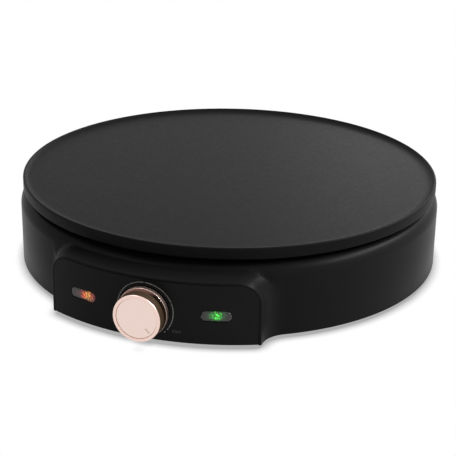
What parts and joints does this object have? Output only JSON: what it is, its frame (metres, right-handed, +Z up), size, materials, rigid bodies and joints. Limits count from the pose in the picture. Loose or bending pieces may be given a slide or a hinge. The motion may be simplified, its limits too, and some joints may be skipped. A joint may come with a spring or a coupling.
{
  "type": "electric crepe maker",
  "caption": "Round electric crepe maker: low-lipped griddle plate on a low black housing, with a front control box that has a thermostat knob and indicator windows.",
  "frame": {"origin": "centre of the footprint's bounding box, on the worktop under the feet; the cooking plate's axis stands 11.5 mm behind it", "axes": "+Z up from the worktop; -Y towards the control box and the user; +X to the right as seen from the front"},
  "size_m": [0.304, 0.335, 0.0635],
  "materials": {
    "coated_plate": "die-cast, dark non-stick coating",
    "housing_plastic": "black moulded thermoplastic, satin",
    "panel_plastic": "black moulded thermoplastic, semi-gloss",
    "cover_plastic": "black moulded thermoplastic, fine texture",
    "knob_shell": "moulded plastic with satin champagne metal lacquer",
    "sheet_steel": "zinc-plated sheet steel",
    "fastener_steel": "zinc-plated steel",
    "element_steel": "steel sheath, dull grey from heat",
    "copper_tube": "drawn copper",
    "brass_parts": "turned and stamped brass",
    "ceramic_base": "unglazed steatite",
    "clear_lens": "clear moulded polycarbonate",
    "orange_glow": "lit amber lamp",
    "green_glow": "lit green lamp",
    "holder_plastic": "natural heat-resistant plastic",
    "rubber_black": "moulded rubber, matte",
    "wire_brown": "brown silicone insulation",
    "wire_blue": "blue silicone insulation",
    "wire_green": "green and yellow silicone insulation",
    "wire_white": "white silicone insulation"
  },
  "bodies": {
    "base": {"block_screws": "fastener_steel", "bottom_cover": "cover_plastic", "bracket_screws": "fastener_steel", "bulb_clip": "sheet_steel", "bulb_clip_screw": "fastener_steel", "capillary_bulb": "copper_tube", "clamp_screws": "fastener_steel", "clip_screws": "fastener_steel", "control_panel": "panel_plastic", "cooking_plate": "coated_plate", "cord_clamp": "cover_plastic", "cord_gland": "rubber_black", "cover_screws": "fastener_steel", "earth_bolt": "fastener_steel", "earth_nut": "fastener_steel", "earth_tag": "sheet_steel", "earth_wire": "wire_green", "element_clips": "sheet_steel", "element_pins": "fastener_steel", "foot_back_left": "rubber_black", "foot_back_right": "rubber_black", "foot_front_left": "rubber_black", "foot_front_right": "rubber_black", "fuse_clip": "sheet_steel", "green_lamp": "green_glow", "green_lamp_holder": "holder_plastic", "green_lamp_leads": "wire_white", "green_lens": "clear_lens", "heat_shield": "sheet_steel", "heater_wire": "wire_brown", "heating_element": "element_steel", "holder_screws": "fastener_steel", "housing": "housing_plastic", "live_wire": "wire_brown", "neutral_wire": "wire_blue", "orange_lamp": "orange_glow", "orange_lamp_holder": "holder_plastic", "orange_lamp_leads": "wire_white", "orange_lens": "clear_lens", "pin_sleeves": "brass_parts", "plate_screws": "fastener_steel", "plate_spacers": "fastener_steel", "plate_washers": "fastener_steel", "receptacles": "brass_parts", "switched_wire": "wire_brown", "terminal_block": "holder_plastic", "terminal_screws": "fastener_steel", "terminal_sleeves": "brass_parts", "thermal_fuse": "fastener_steel", "thermostat_base": "ceramic_base", "thermostat_blades": "brass_parts", "thermostat_body": "sheet_steel", "thermostat_bracket": "sheet_steel", "thermostat_screws": "fastener_steel"},
    "knob": {"knob": "knob_shell", "knob_cap": "knob_shell", "knob_spring": "sheet_steel", "thermostat_spindle": "fastener_steel"}
  },
  "joints": [
    {"name": "knob_turn", "type": "hinge", "parent": "base", "child": "knob", "pos_m": [0, -0.1535, 0.023], "axis": [0, -1, 0], "range_deg": [0, 270]}
  ]
}
